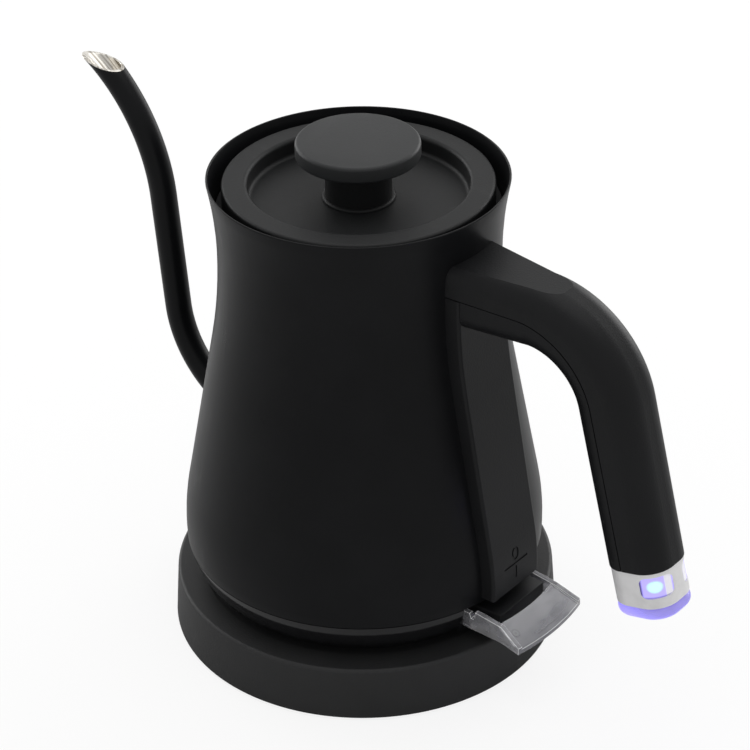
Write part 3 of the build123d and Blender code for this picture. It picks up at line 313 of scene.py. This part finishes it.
# Clear moulded plastic that has gone slightly milky, with flow marks and a small round mould mark.
def clearFinish(name, values):
    g = materialGraph(name)
    low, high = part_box("lever_paddle")
    x = g.axis("X") - (high[0] - values["markInset"] * mm)
    y = g.axis("Y") - values["markSide"] * mm
    reach = (x * x + y * y) ** 0.5
    fromLine = (reach - values["markRadius"] * mm).math("ABSOLUTE")
    line, dot = (tuple(edge * mm for edge in values[key]) for key in ("markLine", "markDot"))
    mark = (1 - fromLine.step(*line)) + (1 - reach.step(*dot))
    flow = g.noise(values["flowSize"] * mm, 2.0, 0.5, values["flowStretch"])
    colour = g.mix(flow.step(0.35, 0.7), values["colour"], values["cloudy"])
    skin = g.noise(values["skinSize"] * mm, 2.0, 0.5)
    normal = g.bump(flow * 0.7 + skin * 0.2 + mark * 0.8, 0.3, values["depth"])
    rough = values["rough"] + g.noise(values["hazeSize"] * mm, 3.0, 0.6) * values["hazeRough"]
    colour = g.mix(mark * values["markShare"], colour, values["markColour"])
    return g.surface({"Base Color": colour, "Roughness": rough, "Normal": normal,
                      "IOR": plasticIor, "Transmission Weight": values["transmission"]})


# the near-white colour and the glow of the clear edges are a painted highlight
edgeHighlightValues = {"colour": (0.92, 0.92, 0.9), "hazy": (0.78, 0.78, 0.8), "hazeSize": 2, "hazeRough": 0.1,
              "rough": 0.12, "depth": 0.05, "glow": 0.4}


# Polished edges of the clear plastic, with a painted highlight: a near-white colour and a faint white glow
# stand in for the light they gather.
def edgeHighlightFinish(name, values):
    g = materialGraph(name)
    haze = g.noise(values["hazeSize"] * mm, 3.0, 0.6)
    colour = g.mix(haze, values["colour"], values["hazy"])
    return g.surface({"Base Color": colour, "Roughness": values["rough"] + haze * values["hazeRough"],
                      "Emission Color": white, "Emission Strength": values["glow"],
                      "Normal": g.bump(haze, 0.2, values["depth"])})


# Centre, width direction and height direction of the window on the -Y side, from its own corners.
def windowPlace():
    mesh = nodes["indicator_windows"].data
    corners = np.empty(len(mesh.vertices) * 3)
    mesh.vertices.foreach_get("co", corners)
    corners = corners.reshape(-1, 3)
    corners = corners[corners[:, 1] < 0]
    centre = (corners.min(axis=0) + corners.max(axis=0)) / 2
    axes = np.linalg.svd(corners - centre, full_matrices=False)[2]
    wide, high = axes[0] * np.sign(axes[0][0]), axes[1] * np.sign(axes[1][2])
    size = [np.abs((corners - centre) @ axis).max() for axis in (wide, high)]
    return centre, wide, high, size


# The window runs from -1 to 1 across and up. Spot is the lamp's place in it, spread how fast the lamp's
# light fades each way; the rib lies between two soft lines across, and the rim along two of its sides.
glowValues = {"lamp": (0.42, 1.0, 0.97), "violet": (0.42, 0.36, 1.0), "edge": (0.05, 0.035, 0.22),
              "pale": (0.40, 0.39, 0.46), "strength": 0.72,
              "spot": (-0.12, 0.02), "spread": (5.0, 4.0), "fade": (0.25, 1.6),
              "ribFrom": (0.42, 0.52), "ribTo": (0.86, 0.95), "rim": (-0.95, -0.8), "lowerRim": 0.6,
              "violetBody": (0.42, 0.38, 0.8), "lampBody": (0.7, 0.95, 0.98),
              "paleBody": (0.8, 0.8, 0.82), "edgeBody": (0.08, 0.07, 0.2), "rough": 0.14, "ribRough": 0.1}


# Lit window: violet, turning to cyan white at the lamp, with a dark rim and a pale rib on its outer side.
def windowFinish(name, values):
    g = materialGraph(name)
    centre, wide, high, size = windowPlace()
    across = g.along(centre, wide) / size[0]
    up = g.along(centre, high) / size[1]
    spotX, spotY = across - values["spot"][0], up - values["spot"][1]
    spread = values["spread"]
    near = 1 - (spotX * spotX * spread[0] + spotY * spotY * spread[1]).step(*values["fade"])
    rib = across.step(*values["ribFrom"]) * (1 - across.step(*values["ribTo"]))
    sideRim, lowerRim = (1 - place.step(*values["rim"]) for place in (across, up))
    rim = (sideRim + lowerRim * values["lowerRim"]).clamp()
    glow = g.mix(rib, g.mix(near, values["violet"], values["lamp"]), values["pale"])
    body = g.mix(rib, g.mix(near, values["violetBody"], values["lampBody"]), values["paleBody"])
    return g.surface({"Base Color": g.mix(rim, body, values["edgeBody"]),
                      "Roughness": values["rough"] + rib * values["ribRough"],
                      "Emission Color": g.mix(rim, glow, values["edge"]),
                      "Emission Strength": values["strength"], "IOR": plasticIor})


lensValues = {"body": (0.8, 0.95, 0.95, 1), "edge": (0.42, 1.0, 0.97), "centre": (0.8, 1.0, 1.0),
              "strength": 1.6, "cloudSize": 1.5, "cloudRough": 0.1, "rough": 0.3}


def lensFinish(name, values):
    g = materialGraph(name)
    cloud = g.noise(values["cloudSize"] * mm, 2.0, 0.5)
    colour = g.mix(cloud, values["edge"], values["centre"])
    return g.surface({"Base Color": values["body"],
                      "Roughness": values["rough"] + cloud * values["cloudRough"],
                      "Emission Color": colour, "Emission Strength": values["strength"]})


# dark and lit ends of its own colour and of its glow; gather is the part of its height where the glow fades
capValues = {"body": ((0.30, 0.28, 0.46), (0.45, 0.42, 0.85)),
             "glow": ((0.10, 0.085, 0.24), (0.34, 0.29, 1.0)),
             "gather": (0.05, 0.75), "cloudSize": 7, "strength": 0.85, "transmission": 0.25,
             "rough": 0.25, "glowRough": 0.1}


# Translucent cap, lit from inside: the glow gathers at its lower edge.
def capFinish(name, values):
    g = materialGraph(name)
    low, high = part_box("end_cap")
    height = (g.axis("Z") - low[2]) / (high[2] - low[2])
    cloud = g.noise(values["cloudSize"] * mm, 2.0, 0.5)
    glow = (1 - height.step(*values["gather"])) * 0.8 + cloud * 0.2
    return g.surface({"Base Color": g.mix(glow, *values["body"]),
                      "Roughness": values["rough"] + glow * values["glowRough"],
                      "Emission Color": g.mix(glow, *values["glow"]),
                      "Emission Strength": values["strength"],
                      "Transmission Weight": values["transmission"], "IOR": plasticIor})


boardValues = {"mask": (0.012, 0.09, 0.035), "track": (0.4, 0.3, 0.08), "scale": 260.0, "line": 0.04,
               "rough": 0.35, "trackRough": 0.1, "depth": 0.05}


def boardFinish(name, values):
    g = materialGraph(name)
    bricks = {"Vector": g.coords, "Scale": values["scale"], "Mortar Size": values["line"]}
    tracks = g.node("ShaderNodeTexBrick", {}, bricks, 1)
    colour = g.mix(tracks, values["mask"], values["track"])
    return g.surface({"Base Color": colour, "Roughness": values["rough"] + tracks * values["trackRough"],
                      "Normal": g.bump(tracks, 0.3, values["depth"])})


# the two wires lie side by side; split is how soft the line between them is
wireValues = {"red": (0.35, 0.012, 0.012), "black": (0.02, 0.02, 0.02), "split": 0.2,
              "sheenSize": 2, "sheenRough": 0.15, "rough": 0.4, "depth": 0.05}


def wireFinish(name, values):
    g = materialGraph(name)
    side = g.axis("Y").step(-values["split"] * mm, values["split"] * mm)
    sheen = g.noise(values["sheenSize"] * mm, 2.0, 0.5)
    colour = g.mix(side, values["red"], values["black"])
    return g.surface({"Base Color": colour, "Roughness": values["rough"] + sheen * values["sheenRough"],
                      "Normal": g.bump(sheen, 0.2, values["depth"])})


finishes = {}
for slotName, slotValues in blackFinishes.items():
    finishes[slotName] = blackFinish(slotName, slotValues, wearValues)
for slotName, slotValues in metalFinishes.items():
    finishes[slotName] = metalFinish(slotName, slotValues, tarnishValues)
for slotName, slotColour in rubberColours.items():
    finishes[slotName] = rubberFinish(slotName, slotColour, rubberValues)
finishes["gloss_black"] = glossFinish("gloss_black", glossValues)
finishes["clear_plastic"] = clearFinish("clear_plastic", clearValues)
finishes["clear_edge_highlight"] = edgeHighlightFinish("clear_edge_highlight", edgeHighlightValues)
finishes["window_plastic"] = windowFinish("window_plastic", glowValues)
finishes["lamp_lens"] = lensFinish("lamp_lens", lensValues)
finishes["cap_plastic"] = capFinish("cap_plastic", capValues)
finishes["board"] = boardFinish("board", boardValues)
finishes["wire_cover"] = wireFinish("wire_cover", wireValues)
finishes["spout_bore"] = boreFinish("spout_bore", boreValues)
for part in frame["record"]["subparts"]:
    shown = nodes[part["node"]]
    shown.data.materials.clear()
    shown.data.materials.append(finishes[part["material_slot"]])
print("finishes:", len(finishes))


# A mesh from a grid of points whose rows and columns both close on themselves.
def closedGrid(name, points):
    rows, columns = points.shape[:2]
    index = np.arange(rows * columns).reshape(rows, columns)
    nextRow, nextColumn = np.roll(index, -1, 0), np.roll(index, -1, 1)
    corner = np.roll(nextRow, -1, 1)
    faces = np.stack([index, nextColumn, corner, nextRow], axis=-1).reshape(-1, 4)
    mesh = bpy.data.meshes.new(name)
    mesh.vertices.add(rows * columns)
    mesh.vertices.foreach_set("co", points.reshape(-1))
    mesh.loops.add(faces.size)
    mesh.loops.foreach_set("vertex_index", faces.reshape(-1))
    mesh.polygons.add(len(faces))
    mesh.polygons.foreach_set("loop_start", np.arange(len(faces)) * 4)
    mesh.polygons.foreach_set("use_smooth", np.ones(len(faces), dtype=bool))
    mesh.update(calc_edges=True)
    piece = bpy.data.objects.new(name, mesh)
    bpy.context.collection.objects.link(piece)
    return piece


# millimetres and degrees, X and Z; root, rise and tip lie on the centre line's three straights, carried on
# past the bends, and the plane of the mouth goes through tip; rowTravel is how far the bore's streaks move
# on from one row of points to the next, with its radius as 1
spoutValues = {"radius": 5.4, "wall": 0.9,
               "root": (-65.3, 67.4), "rise": (-98.5, 108.0), "tip": (-128.4, 206.3),
               "angles": (155.0, 95.3, 153.4), "bends": (43.0, 72.3), "cutTilt": -5.3,
               "sides": 96, "bendRows": 32, "mouthRows": 40, "lipRows": 6, "rowTravel": 0.02}


# Where two lines cross, each given by a point and its angle.
def crossing(first, firstAngle, second, secondAngle):
    a, b = math.radians(firstAngle), math.radians(secondAngle)
    lines = np.array([[math.cos(a), -math.cos(b)], [math.sin(a), -math.sin(b)]])
    run = np.linalg.solve(lines, np.subtract(second, first))[0]
    return np.array(first) + run * np.array([math.cos(a), math.sin(a)])


# Centre line up to the high bend: points and headings along a run and the low bend, then the bend's centre.
def spoutRoute(values):
    headings = [math.radians(angle) for angle in values["angles"]]
    corners = [crossing(values["root"], values["angles"][0], values["rise"], values["angles"][1]),
               crossing(values["rise"], values["angles"][1], values["tip"], values["angles"][2])]
    starts = []
    for corner, bend, before, after in zip(corners, values["bends"], headings, headings[1:]):
        setBack = abs(bend * math.tan((after - before) / 2))
        starts.append(corner - setBack * np.array([math.cos(before), math.sin(before)]))
    angle = np.linspace(headings[0], headings[1], values["bendRows"])
    normal = np.stack([np.sin(angle), -np.cos(angle)], axis=1)
    low = starts[0] + values["bends"][0] * (normal[:1] - normal)
    centre = starts[1] + values["bends"][1] * np.array([-math.sin(headings[1]), math.cos(headings[1])])
    points = np.concatenate([[values["root"]], low, [starts[1]]])
    return points, np.concatenate([headings[:1], angle, headings[1:2]]), centre


# Spout: a circle carried along the route, out along the painted skin, over a round lip and back down the
# bore. In the high bend each line along the tube is an arc about the bend's centre, and it stops where it
# meets the slanted plane of the mouth, at the angle whose cosine is the plane's distance over its radius.
def makeSpout(values):
    route, heading, centre = spoutRoute(values)
    turn = np.linspace(0, 2 * math.pi, values["sides"], endpoint=False)
    tilt = math.radians(values["cutTilt"])
    depth = (np.array(values["tip"]) - centre) @ np.array([-math.sin(tilt), math.cos(tilt)])
    bend = values["bends"][1]
    half = values["wall"] / 2

    def ring(radius):
        offset = radius * np.cos(turn)
        x = route[:, :1] - np.sin(heading)[:, None] * offset
        z = route[:, 1:] + np.cos(heading)[:, None] * offset
        return np.stack([x, np.broadcast_to(radius * np.sin(turn), x.shape), z], axis=-1)

    def mouthRows(radius, shares, shortfall):
        reach = radius * np.cos(turn) - bend
        end = tilt + np.arccos(depth / reach) - shortfall / -reach
        angle = heading[-1] + np.array(shares)[:, None] * (end - heading[-1])
        side = np.broadcast_to(radius * np.sin(turn), angle.shape)
        x, z = centre[0] - reach * np.sin(angle), centre[1] + reach * np.cos(angle)
        return np.stack([x, side, z], axis=-1)

    outer = values["radius"]
    inner = outer - values["wall"]
    shares = np.linspace(0, 1, values["mouthRows"] + 1)[1:]
    lip = [mouthRows(outer - half + half * math.cos(a), [1.0], half * (1 - math.sin(a)))
           for a in np.linspace(0, math.pi, values["lipRows"] + 2)[1:-1]]
    skin = [ring(outer), mouthRows(outer, shares, half)]
    bore = [mouthRows(inner, shares[::-1], half), ring(inner)[::-1]]
    points = np.concatenate(skin + lip + bore)
    piece = closedGrid("spoutSkin", points * mm)
    skinRows = sum(len(rows) for rows in skin)
    piece.data.materials.append(finishes["spout_paint"])
    piece.data.materials.append(finishes["spout_bore"])
    rows = np.repeat(np.arange(len(points)), len(turn))
    steel = (rows >= skinRows - 1) & (rows < len(points) - 1)
    piece.data.polygons.foreach_set("material_index", steel.astype(np.int32))
    travel = np.arange(len(points))[:, None] * values["rowTravel"]
    around = np.stack(np.broadcast_arrays(np.cos(turn)[None], np.sin(turn)[None], travel), axis=-1)
    attribute = piece.data.attributes.new("around", "FLOAT_VECTOR", "POINT")
    attribute.data.foreach_set("vector", around.reshape(-1))
    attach(piece, "kettle")
    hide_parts("spout_tube")


# widths in millimetres of the rounding along the sharp edges
softEdges = {"lever_paddle": 0.45, "lever_bar": 0.35, "body_shell": 0.33, "knob_disc": 0.4}

# seam in millimetres, below which two corners are one; angles in degrees
softenValues = {"seam": 0.001, "flat": 0.5, "sharp": 35, "segments": 3}


# A copy of a CAD piece with its seams merged, its flat faces made whole and its sharp edges rounded.
def softenEdges(node, width, values):
    body = next(name for name, held in frame["record"]["behaviour"]["bodies"].items() if node in held)
    mesh = nodes[node].data.copy()
    shape = bmesh.new()
    shape.from_mesh(mesh)
    bmesh.ops.remove_doubles(shape, verts=shape.verts, dist=values["seam"] * mm)
    flat = math.radians(values["flat"])
    bmesh.ops.dissolve_limit(shape, angle_limit=flat, verts=shape.verts, edges=shape.edges)
    shape.to_mesh(mesh)
    shape.free()
    words = node.split("_")
    piece = bpy.data.objects.new(words[0] + "".join(word.title() for word in words[1:]) + "Soft", mesh)
    bpy.context.collection.objects.link(piece)
    bevel = piece.modifiers.new("softEdges", "BEVEL")
    bevel.width = width * mm
    bevel.segments = values["segments"]
    bevel.limit_method = "ANGLE"
    bevel.angle_limit = math.radians(values["sharp"])
    mesh.polygons.foreach_set("use_smooth", np.ones(len(mesh.polygons), dtype=bool))
    # the paddle's rounded edges carry the painted highlight of the clear edges
    if node == "lever_paddle":
        mesh.materials.append(finishes["clear_edge_highlight"])
        bevel.material = 1
    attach(piece, body)
    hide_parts(node)


makeSpout(spoutValues)
for nodeName, edgeWidth in softEdges.items():
    softenEdges(nodeName, edgeWidth, softenValues)
print("spout and soft edges made")

# metres and degrees; lens and sensor in millimetres
cameraValues = {"distance": 0.843393, "azimuth": 40.0, "height": 0.637951, "pitch": 32.073, "yaw": 0.344,
                "roll": -0.858, "lens": 121.96, "sensor": 36.0, "clipStart": 0.05, "clipEnd": 50}


def makeCamera(values):
    turn = math.radians(values["azimuth"])
    back = Vector((math.sin(turn), -math.cos(turn), 0))
    side = Vector((math.cos(turn), math.sin(turn), 0))
    pitch, yaw, roll = (math.radians(values[key]) for key in ("pitch", "yaw", "roll"))
    level = side * math.sin(yaw) - back * math.cos(yaw)
    across = side * math.cos(yaw) + back * math.sin(yaw)
    look = level * math.cos(pitch) - Vector((0, 0, 1)) * math.sin(pitch)
    rise = across.cross(look)
    right = across * math.cos(roll) + rise * math.sin(roll)
    top = rise * math.cos(roll) - across * math.sin(roll)
    data = bpy.data.cameras.new("camera")
    data.lens = values["lens"]
    data.sensor_width = values["sensor"]
    data.clip_start = values["clipStart"]
    data.clip_end = values["clipEnd"]
    camera = bpy.data.objects.new("camera", data)
    place = back * values["distance"] + Vector((0, 0, values["height"]))
    turned = Matrix((right, top, -look)).transposed().to_4x4()
    camera.matrix_world = Matrix.Translation(place) @ turned
    bpy.context.collection.objects.link(camera)
    bpy.context.scene.camera = camera


makeCamera(cameraValues)

# floorSize in metres; near and far are the world's strength away from the backdrop and towards it
stageValues = {"floorSize": 6.0, "floorSeen": (1, 1, 1), "floorBounce": (0.6, 0.6, 0.6), "floorKeep": 0.16,
               "near": 0.6, "far": 0.9, "backdrop": (-0.64, 0.765, 0.05), "blend": (-0.15, 0.85)}


# The floor shows white to the camera but keeps a share of its lit surface, and so the shadow.
def makeFloor(values):
    half = values["floorSize"] / 2
    mesh = bpy.data.meshes.new("floor")
    corners = [(-half, -half, 0), (half, -half, 0), (half, half, 0), (-half, half, 0)]
    mesh.from_pydata(corners, [], [(0, 1, 2, 3)])
    floor = bpy.data.objects.new("floor", mesh)
    bpy.context.collection.objects.link(floor)
    g = materialGraph("floor_white")
    seen = g.node("ShaderNodeLightPath", {}, {}, "Is Camera Ray")
    colour = g.mix(seen, values["floorBounce"], values["floorSeen"])
    lit = g.node("ShaderNodeBsdfDiffuse", {}, {"Color": colour})
    plain = g.node("ShaderNodeEmission", {}, {"Color": white, "Strength": 1.0})
    factor = seen * (1 - values["floorKeep"])
    shader = g.node("ShaderNodeMixShader", {}, [factor, lit, plain])
    mesh.materials.append(g.finish(shader, "Material"))


# White to the camera and through clear plastic; otherwise bright towards the backdrop, dim on the near side.
def makeWorld(values):
    world = bpy.data.worlds.new("studio")
    bpy.context.scene.world = world
    g = Graph(world, "Generated")
    product = {"operation": "DOT_PRODUCT"}
    facing = g.node("ShaderNodeVectorMath", product, [g.coords, values["backdrop"]], "Value")
    strength = values["near"] + facing.step(*values["blend"]) * (values["far"] - values["near"])
    for ray in ("Is Camera Ray", "Is Transmission Ray"):
        strength = strength.math("MAXIMUM", g.node("ShaderNodeLightPath", {}, {}, ray))
    g.finish(g.node("ShaderNodeBackground", {}, {"Color": white, "Strength": strength}), "World")


# place, aim and size in metres, power in watts
lampValues = {
    "topPanel": {"place": (0.1, 0.1, 1.5), "aim": (0, 0, 0.1), "size": (1.3, 1.3), "power": 4.5},
    "leftPanel": {"place": (-1.4, 0.1, 0.4), "aim": (0, 0, 0.1), "size": (0.9, 1.2), "power": 7.0},
    "rightPanel": {"place": (0.15, 1.4, 0.4), "aim": (0, 0, 0.1), "size": (0.9, 1.2), "power": 7.0},
}


def makeLamp(name, values):
    data = bpy.data.lights.new(name, "AREA")
    data.shape = "RECTANGLE"
    data.size, data.size_y = values["size"]
    data.energy = values["power"]
    lamp = bpy.data.objects.new(name, data)
    lamp.location = values["place"]
    direction = Vector(values["aim"]) - Vector(values["place"])
    lamp.rotation_euler = direction.to_track_quat("-Z", "Y").to_euler()
    bpy.context.collection.objects.link(lamp)


makeFloor(stageValues)
makeWorld(stageValues)
for lampName, lampSetting in lampValues.items():
    makeLamp(lampName, lampSetting)
bpy.context.scene.view_settings.view_transform = "Standard"
print("studio ready")
